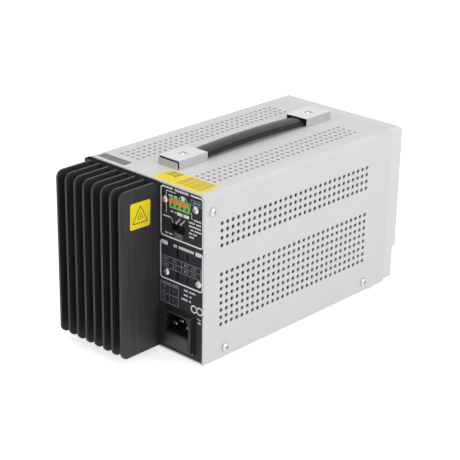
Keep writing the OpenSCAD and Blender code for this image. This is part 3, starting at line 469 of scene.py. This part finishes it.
def remote_print():
    """The printed frame and guide lines round the terminals and the remote switch."""
    ink = rear_sheet()
    ink.line(frame_path(45.7, 1.4, 96.6, 136.4, 2.4, 33.0, 14.4), 1.2)
    ink.words(16.6, 136.3, 1.9, [14.6])
    ink.line([(40, 115.5), (40, 133.3), (39.7, 133.8), (29.8, 133.8)], 0.6)
    ink.words(28.4, 130.6, 1.5, [3.6, 4.2])
    ink.line([(26.6, 129.8), (25.4, 131.6), (24.2, 132.6)], 0.5)
    ink.bar(20.4, 129.4, 24.0, 133.2, 0.4)
    ink.line([(20.2, 132.6), (19.0, 131.6), (17.8, 129.8)], 0.5)
    ink.words(29.2, 118.3, 1.3, [2.4, 3.2])
    ink.bar(22.7, 116.7, 28.4, 119.4, 0.3)
    ink.bar(15.9, 116.7, 21.7, 119.4, 0.3)
    for top in (25.0, 20.2):
        ink.line([(top, 114.6), (top + 4.4, 109.8)], 0.6)
        ink.line([(top + 4.6, 111.0), (top + 4.6, 109.6), (top + 3.3, 109.6)], 0.45)
    ink.words(35.6, 113.0, 1.3, [8.0])
    ink.line([(34.9, 113.0), (33.9, 112.3), (33.2, 111.0), (33.0, 109.4)], 0.5)
    ink.line([(13.1, 122.6), (13.1, 118.6), (12.6, 117.8), (11.6, 117.5)], 0.5)
    ink.words(33.4, 99.6, 1.2, [3.6, 4.2])
    for row, (start, lengths) in enumerate([(3.4, [7.4]), (3.4, [5.6, 6.2]), (3.4, [12.4]),
                                            (2.8, [7.4, 3.6]), (7.8, [4.2, 3.0]), (10.6, [5.2])]):
        ink.words(start, 117.6 - 2.9 * row, 1.35, lengths)
    ink.finish("remote_print", "white_ink", slot="warm_white_plastic")

    faint = rear_sheet()
    faint.box(14.0, 129.1, 3.0, 133.4, 0.5)
    faint.words(4.4, 131.2, 1.7, [8.4])
    faint.box(30.9, 97.9, 22.7, 101.9, 0.5)
    faint.words(23.9, 99.9, 1.8, [5.8])
    faint.finish("remote_notes", "grey_ink", slot="satin_nickel")


def selector_print():
    """The printed frame and the table of the voltage selector."""
    ink = rear_sheet()
    ink.line(frame_path(46.2, 1.4, 61.1, 92.0, 2.4, 38.6, 8.6), 1.2)
    ink.bar(38.4, 89.3, 44.6, 91.6, 0.2)
    ink.bar(3.0, 89.3, 8.7, 91.6, 0.2)
    ink.words(10.8, 91.0, 2.3, [16.4, 4.0])
    ink.finish("selector_print", "white_ink", slot="warm_white_plastic")

    table = rear_sheet()
    table.box(43.8, 70.3, 3.0, 80.4, 0.5, 0.3)
    table.bar(3.4, 75.2, 43.4, 75.7, 0.05)
    table.bar(23.4, 70.7, 23.9, 75.1, 0.05)
    table.bar(23.4, 75.8, 23.9, 80.0, 0.05)
    cells = ((35.0, 78.0, "100"), (35.0, 73.0, "120"), (13.8, 78.0, "220"), (13.8, 73.0, "240"))
    for left, b, text in cells:
        digits(table, text, left - 0.6, b, 2.3, 0.36, turned=-1)
        table.box(left + 6.9, b - 1.0, left + 2.6, b + 1.0, 0.4, 0.2)
        table.bar(left + 6.3, b - 0.5, left + 5.0, b + 0.5, 0.1)
    table.finish("selector_table", "grey_ink", slot="satin_nickel")


def fuse_print():
    """The fuse table and the rating lines over the inlet."""
    table = rear_sheet()
    table.box(46.7, 40.6, 26.6, 58.5, 0.5, 0.5)
    table.bar(27.0, 55.9, 46.3, 56.4, 0.05)
    table.bar(27.0, 48.2, 46.3, 48.7, 0.05)
    table.bar(36.4, 49.0, 36.8, 55.6, 0.05)
    table.bar(36.4, 41.0, 36.8, 47.9, 0.05)
    table.words(28.2, 57.2, 1.3, [6.0, 5.2, 2.6])
    for b, text in ((53.9, "100"), (50.6, "120"), (46.2, "220"), (42.9, "240")):
        digits(table, text, 44.6, b, 1.7, 0.3, turned=-1)
    for b, text in ((52.2, "4"), (44.5, "2")):
        digits(table, text, 32.6, b, 2.2, 0.34, turned=-1)
    table.finish("fuse_table", "grey_ink", slot="satin_nickel")

    ink = rear_sheet()
    ink.words(8.6, 57.4, 1.45, [7.0, 4.4])
    ink.words(12.8, 53.5, 1.45, [2.8, 4.6])
    ink.words(13.2, 49.6, 1.45, [2.8, 7.0])
    for a in (10.0, 3.9):
        ink.ring(arc(a, 44.7, 3.4, 0, 360, 28)[:-1], arc(a, 44.7, 2.3, 0, 360, 28)[:-1])
    ink.line([(6.6, 37.6), (5.9, 38.3), (5.1, 38.1), (4.4, 37.3), (3.6, 37.1), (2.9, 37.8)], 0.5)
    ink.words(2.8, 34.8, 1.4, [3.6])
    ink.finish("rating_print", "white_ink", slot="warm_white_plastic")


remote_print()
selector_print()
fuse_print()


# ---- Stickers and labels ----


MARK_REACH = 8.0
MARK_CORNER = 0.8
MARK_DROP = 1.6
MARK_INSET = 0.88


def heat_sticker():
    """Yellow sticker on the near fin, with a plain triangle mark."""
    fin_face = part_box("heat_sink")[0].x
    tilt = Matrix.Rotation(math.radians(1.5), 3, X)
    centre = Vector((fin_face, REAR + 19.6 * MM, BASE + 116.8 * MM))
    along, up = tilt @ Y, tilt @ Z

    def layer(lift, thickness):
        sheet = Sheet(centre, along, up, thickness, lift)
        sheet.normal = -X
        return sheet

    body = layer(0, 0.12)
    body.fill(rounded(-10.3, -10.5, 10.3, 10.5, 1.6))
    body.finish("heat_sticker", "yellow_label")
    mark = layer(0.12, 0.04)
    outer = []
    for k in range(3):
        corner = math.radians(90 + 120 * k)
        outer += arc(MARK_REACH * math.cos(corner), MARK_REACH * math.sin(corner) - MARK_DROP,
                     MARK_CORNER, 30 + 120 * k, 150 + 120 * k, 4)
    inner = [(a * MARK_INSET, (b + MARK_DROP) * MARK_INSET - MARK_DROP) for a, b in outer]
    mark.ring(outer, inner)
    for shift in (-2.0, 0, 2.0):
        mark.bar(shift - 0.25, -3.6, shift + 0.25, 0.2 if shift else 2.0)
    mark.finish("heat_sticker_mark", "black_ink")


def top_labels():
    """The yellow label and the dark one at the rear of the cover."""
    def layer(lift, thickness):
        sheet = Sheet(place(0, 0, CASE_H), X, -Y, thickness, lift)
        sheet.normal = Z
        return sheet

    yellow = layer(0, 0.1)
    yellow.fill(rounded(6, 2.2, 58, 22.6, 0.8))
    yellow.finish("top_label", "yellow_label")
    text = layer(0.1, 0.03)
    for row in range(9):
        text.words(9.5, 6.0 + row * 1.95, 1.0, [5.5, 8.0, 4.0, 7.0 - 0.4 * (row % 3)])
    text.finish("top_label_print", "brown_ink")
    bold = layer(0.1, 0.03)
    for row in range(3):
        bold.words(43.0, 14.4 + row * 3.0, 1.7, [5.0, 5.6])
    bold.finish("top_label_bold", "black_ink")
    dark = layer(0, 0.1)
    dark.fill(rounded(90.3, 3.8, 121.2, 12.2, 0.6))
    dark.finish("maker_plate", "grey_label")
    fine = layer(0.1, 0.03)
    for row in range(3):
        fine.words(93, 5.8 + row * 2.2, 0.9, [6.0, 9.0, 6.0 - row])
    fine.finish("maker_plate_print", "grey_ink")


SINK_BASE = 5.0


def sink_base_dark_sheet():
    """A thin matt black sheet on the cut top of the heat sink's base, under the cover's edge, which
    keeps that top black.
    """
    low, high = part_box("heat_sink")
    left, top = own_place(low)[0], own_place(high)[2]
    right = own_place(high)[0]
    strip = Sheet(place(0, 0, top), X, Y, INK)
    strip.fill([(left, 0), (right, 0), (right, SINK_BASE), (left, SINK_BASE)])
    strip.finish("sink_base_dark_sheet", "matt_black", slot="black_plastic")


heat_sticker()
top_labels()
sink_base_dark_sheet()


# ---- Strap ----

STRAP_T = 4.4
CROWN_R = 22.0
CROWN_HALF = 7.0
CROWN_STEPS = 8
RING_STEP = 2.0


def strap_profile():
    """Cross-section: a lip along each edge, a groove inside it and a domed middle."""
    across = [CROWN_HALF * k / CROWN_STEPS for k in range(CROWN_STEPS, -1, -1)]
    crown = [(a, STRAP_T - CROWN_R + math.sqrt(CROWN_R ** 2 - a ** 2)) for a in across]
    right = [(8.5, 0.0), (8.85, 0.15), (9.0, 0.6), (9.0, 1.7), (8.85, 2.15), (8.4, 2.35), (8.0, 2.2),
             (7.75, 1.75), (7.4, 1.75), (7.2, 2.2), (7.15, 2.9)] + crown
    return right + [(-a, b) for a, b in right[-2::-1]]


def strap_half(end, front):
    """One half of the strap, from its cap to the middle, bowed up to the grip's height."""
    grip_low, grip_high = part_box("strap_grip")
    span_low, span_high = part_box(f"strap_span_{end}")
    root_y = span_low.y if front else span_high.y
    middle_y = (grip_low.y + grip_high.y) / 2
    rest_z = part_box(f"strap_end_{end}")[0].z
    bow = grip_low.z - rest_z
    profile = strap_profile()
    reach = abs(root_y - middle_y)
    count = round(reach / (RING_STEP * MM))
    mesh = bmesh.new()
    rings = []
    for i in range(count + 1):
        share = i / count
        y = root_y + (middle_y - root_y) * share
        rise = bow * (1 - (1 - share) ** 2)
        rings.append([mesh.verts.new((a * MM, y, rest_z + rise + b * MM)) for a, b in profile])
    for one, two in zip(rings, rings[1:]):
        for k in range(len(profile)):
            n = (k + 1) % len(profile)
            mesh.faces.new((one[k], one[n], two[n], two[k]))
    mesh.faces.new(rings[0])
    mesh.faces.new(rings[-1])
    obj = piece_from(mesh, f"strap_half_{end}", "strap_vinyl", body=None, smooth=35)
    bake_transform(obj)
    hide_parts(f"strap_span_{end}")
    return obj


rear_half = strap_half("rear", front=False)
strap_half("front", front=True)
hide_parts("strap_grip")


# ---- Front: dials, signs and displays ----


def front_sheet(depth, thickness=INK):
    """A face that looks forwards at this depth: a is x from the left side and b is height."""
    sheet = Sheet(place(0, depth, 0), X, Z, thickness)
    sheet.normal = -Y
    return sheet


KNOBS = ("voltage_coarse", "voltage_fine", "current_fine", "current_coarse")
POSTS = ("positive", "ground", "negative")
RECESS_D = 5.0
RECESS_FACE = BODY_D - RECESS_D
DISPLAY_SIDE = 24
window_middle = middle_of("display_window")[0]


def dials():
    """Tick marks round each knob, with a heading of plain marks and the end figures."""
    ink = front_sheet(BODY_D)
    for knob in KNOBS:
        x, _, z = middle_of(f"knob_{knob}")
        for i in range(11):
            angle = math.radians(240 - 30 * i)
            inner, outer = 9.4, 11.4 if i % 5 == 0 else 10.6
            ink.line([(x + inner * math.cos(angle), z + inner * math.sin(angle)),
                      (x + outer * math.cos(angle), z + outer * math.sin(angle))], 0.4)
        ink.words(x - 5.6, z + 14.6, 1.8, [11.0])
        digits(ink, "0", x - 9.6, z - 10.6, 2.0, 0.3)
        digits(ink, "10", x + 7.0, z - 10.6, 2.0, 0.3)
    for x in (window_middle - DISPLAY_SIDE, window_middle + DISPLAY_SIDE):
        ink.words(x - 7, 90.6, 2.2, [13.6])
    ink.finish("dial_print", "black_ink")


def post_signs():
    """Plus, earth and minus signs over the posts, and the button's two signs."""
    ink = front_sheet(RECESS_FACE)
    heights = 25.6
    plus, earth, minus = (middle_of(f"post_cap_{post}")[0] for post in POSTS)
    ink.line([(plus - 1.5, heights), (plus + 1.5, heights)], 0.6)
    ink.line([(plus, heights + 0.32), (plus, heights + 1.5)], 0.6)
    ink.line([(plus, heights - 1.5), (plus, heights - 0.32)], 0.6)
    ink.line([(minus - 1.5, heights), (minus + 1.5, heights)], 0.6)
    ink.line([(earth, heights + 0.32), (earth, heights + 1.8)], 0.5)
    for drop, half in ((0, 1.8), (0.9, 1.15), (1.8, 0.5)):
        ink.line([(earth - half, heights - drop), (earth + half, heights - drop)], 0.5)
    x, _, z = middle_of("power_button")
    ink.line([(x - 10.5, z - 1.4), (x - 10.5, z + 1.4)], 0.6)
    ink.ring(arc(x + 10.5, z, 1.6, 0, 360, 20)[:-1], arc(x + 10.5, z, 1.1, 0, 360, 20)[:-1])
    ink.finish("post_signs", "black_ink")


def display_digits():
    """Unlit strokes of the two three-figure displays."""
    depth = own_place(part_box("digit_displays")[0])[1]
    z = middle_of("digit_displays")[2]
    sheet = front_sheet(depth, 0.08)
    for side in (-1, 1):
        middle = window_middle + side * DISPLAY_SIDE
        digits(sheet, "888", middle - 13.2, z, 13.0, 1.3)
        for dot in range(3):
            a = middle - 5.0 + dot * 9.62
            sheet.bar(a, z - 7.2, a + 1.1, z - 6.1, 0.4)
    sheet.finish("display_strokes", "unlit_segment", slot="display_face")


def knob_lines():
    """A white pointer line along each knob's front edge."""
    for knob in KNOBS:
        low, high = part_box(f"knob_{knob}")
        x, _, z = middle_of(f"knob_{knob}")
        front = (REAR - low.y) / MM
        radius = (high.x - low.x) / 2 / MM
        sheet = front_sheet(front - 0.36, 0.3)
        sheet.bar(x + radius - 4.1, z - 0.4, x + radius - 1.9, z + 0.4, 0.1)
        sheet.finish(f"pointer_{knob}", "white_enamel", f"knob_{knob}", "warm_white_plastic")


dials()
post_signs()
display_digits()
knob_lines()


# ---- Parts on the boards ----


def softened_block(mesh, low, high, radius):
    """Adds a block with round edges between two corners."""
    made = bmesh.ops.create_cube(mesh, size=1.0)["verts"]
    size = high - low
    for v in made:
        v.co = low + Vector((size.x * (v.co.x + 0.5), size.y * (v.co.y + 0.5), size.z * (v.co.z + 0.5)))
    edges = list({e for v in made for e in v.link_edges})
    bmesh.ops.bevel(mesh, geom=edges, offset=radius, segments=2, affect="EDGES", profile=0.6)


def lying_tube(mesh, middle, length, radius, axis):
    """Adds a small cylinder with chamfered ends, such as a resistor, along an axis."""
    turn = axis.to_track_quat("Z", "Y").to_matrix()
    rings = []
    for along, r in ((-0.5, 0.75), (-0.42, 1), (-0.3, 0.88), (0.3, 0.88), (0.42, 1), (0.5, 0.75)):
        ring = []
        for k in range(14):
            angle = 2 * math.pi * k / 14
            spot = Vector((r * radius * math.cos(angle), r * radius * math.sin(angle), along * length))
            ring.append(mesh.verts.new(middle + turn @ spot))
        rings.append(ring)
    for one, two in zip(rings, rings[1:]):
        for k in range(14):
            mesh.faces.new((one[k], one[(k + 1) % 14], two[(k + 1) % 14], two[k]))
    mesh.faces.new(rings[0])
    mesh.faces.new(rings[-1])


def board_parts():
    """Small parts that stand on the main board beside the filter capacitors."""
    low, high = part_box("main_board")
    can_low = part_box("filter_capacitors")[0]
    top = high.z
    chips, resistors, cans = bmesh.new(), bmesh.new(), bmesh.new()
    draw = random.Random(7)
    for i in range(5):
        corner = Vector((low.x + 6 * MM, low.y + (14 + 14 * i) * MM, top))
        softened_block(chips, corner, corner + Vector((7, 9, 3.4)) * MM, 0.4 * MM)
    for i in range(9):
        spot = Vector((high.x - 9 * MM, low.y + (12 + 8 * i) * MM, top + 1.5 * MM))
        lying_tube(resistors, spot, 7 * MM, 1.3 * MM, X)
    for i in range(4):
        spot = Vector((low.x + (16 + 11 * i) * MM, can_low.y - 9 * MM, top + 5.5 * MM))
        lying_tube(cans, spot, 11 * MM, (3.2 + draw.random()) * MM, Z)
    piece_from(chips, "board_chips", "black_plastic")
    piece_from(resistors, "board_resistors", "coil_tape", smooth=30)
    piece_from(cans, "board_cans", "sleeve_blue", smooth=30)


board_parts()


# ---- Stage, light and camera ----


def background_share(tree):
    """1 for rays that show the background: from the camera, off metal and through glass."""
    path = tree.nodes.new("ShaderNodeLightPath")
    most = None
    for output in ("Is Camera Ray", "Is Glossy Ray", "Is Transmission Ray"):
        if most is None:
            most = path.outputs[output]
            continue
        node = tree.nodes.new("ShaderNodeMath")
        node.operation = "MAXIMUM"
        tree.links.new(most, node.inputs[0])
        tree.links.new(path.outputs[output], node.inputs[1])
        most = node.outputs[0]
    return most


WORLD_LEVEL = 0.55
FLOOR_GLOW = 0.62


def white_world():
    world = bpy.data.worlds.new("studio")
    bpy.context.scene.world = world
    world.use_nodes = True
    tree = world.node_tree
    light = tree.nodes["Background"]
    light.inputs["Color"].default_value = (1, 1, 1, 1)
    light.inputs["Strength"].default_value = WORLD_LEVEL
    white = tree.nodes.new("ShaderNodeBackground")
    white.inputs["Color"].default_value = (1, 1, 1, 1)
    mix = tree.nodes.new("ShaderNodeMixShader")
    tree.links.new(background_share(tree), mix.inputs[0])
    tree.links.new(light.outputs[0], mix.inputs[1])
    tree.links.new(white.outputs[0], mix.inputs[2])
    tree.links.new(mix.outputs[0], tree.nodes["World Output"].inputs["Surface"])


def pale_floor():
    """A wide pale floor that glows enough to meet the white background and keeps the shadow."""
    mesh = bpy.data.meshes.new("floor")
    half = 6.0
    corners = [(-half, -half, 0), (half, -half, 0), (half, half, 0), (-half, half, 0)]
    mesh.from_pydata(corners, [], [(0, 1, 2, 3)])
    floor = bpy.data.objects.new("floor", mesh)
    bpy.context.scene.collection.objects.link(floor)
    mat, shader = plain("floor", (0.8, 0.8, 0.8), 0.8, Specular_IOR_Level=0.0)
    tree = mat.node_tree
    glow = tree.nodes.new("ShaderNodeEmission")
    level = tree.nodes.new("ShaderNodeMath")
    level.operation = "MULTIPLY"
    tree.links.new(background_share(tree), level.inputs[0])
    level.inputs[1].default_value = FLOOR_GLOW
    tree.links.new(level.outputs[0], glow.inputs["Strength"])
    both = tree.nodes.new("ShaderNodeAddShader")
    tree.links.new(shader.outputs[0], both.inputs[0])
    tree.links.new(glow.outputs[0], both.inputs[1])
    tree.links.new(both.outputs[0], tree.nodes["Material Output"].inputs["Surface"])
    mesh.materials.append(mat)


def soft_light(name, spot, target, size, power):
    data = bpy.data.lights.new(name, "AREA")
    data.shape = "DISK"
    data.size = size
    data.energy = power
    lamp = bpy.data.objects.new(name, data)
    lamp.location = spot
    lamp.rotation_euler = (target - Vector(spot)).to_track_quat("-Z", "Y").to_euler()
    bpy.context.scene.collection.objects.link(lamp)


CAMERA_SPOT = Vector((-0.75105, 0.81736, 0.52601))
CAMERA_AIM = Vector((0.630, -0.6765, -0.381)).normalized()
CAMERA_ROLL = math.radians(1.0)
CAMERA_LENS = 113.25


def camera():
    data = bpy.data.cameras.new("camera")
    data.lens = CAMERA_LENS
    data.sensor_width = 36
    obj = bpy.data.objects.new("camera", data)
    bpy.context.scene.collection.objects.link(obj)
    right = CAMERA_AIM.cross(Z).normalized()
    up = right.cross(CAMERA_AIM)
    turn = Matrix.Rotation(CAMERA_ROLL, 3, -CAMERA_AIM)
    axes = Matrix((turn @ right, turn @ up, -CAMERA_AIM)).transposed()
    obj.matrix_world = Matrix.Translation(CAMERA_SPOT) @ axes.to_4x4()
    bpy.context.scene.camera = obj


centre = (cad_low + cad_high) / 2
white_world()
pale_floor()
soft_light("side_light", (-1.5, -0.1, 0.85), centre, 1.4, 11)
soft_light("top_light", (0.1, 0.3, 1.7), centre, 1.2, 4.5)
soft_light("rear_light", (0.5, 1.6, 0.9), centre, 1.0, 4)
camera()

bpy.context.scene.view_settings.view_transform = "Standard"
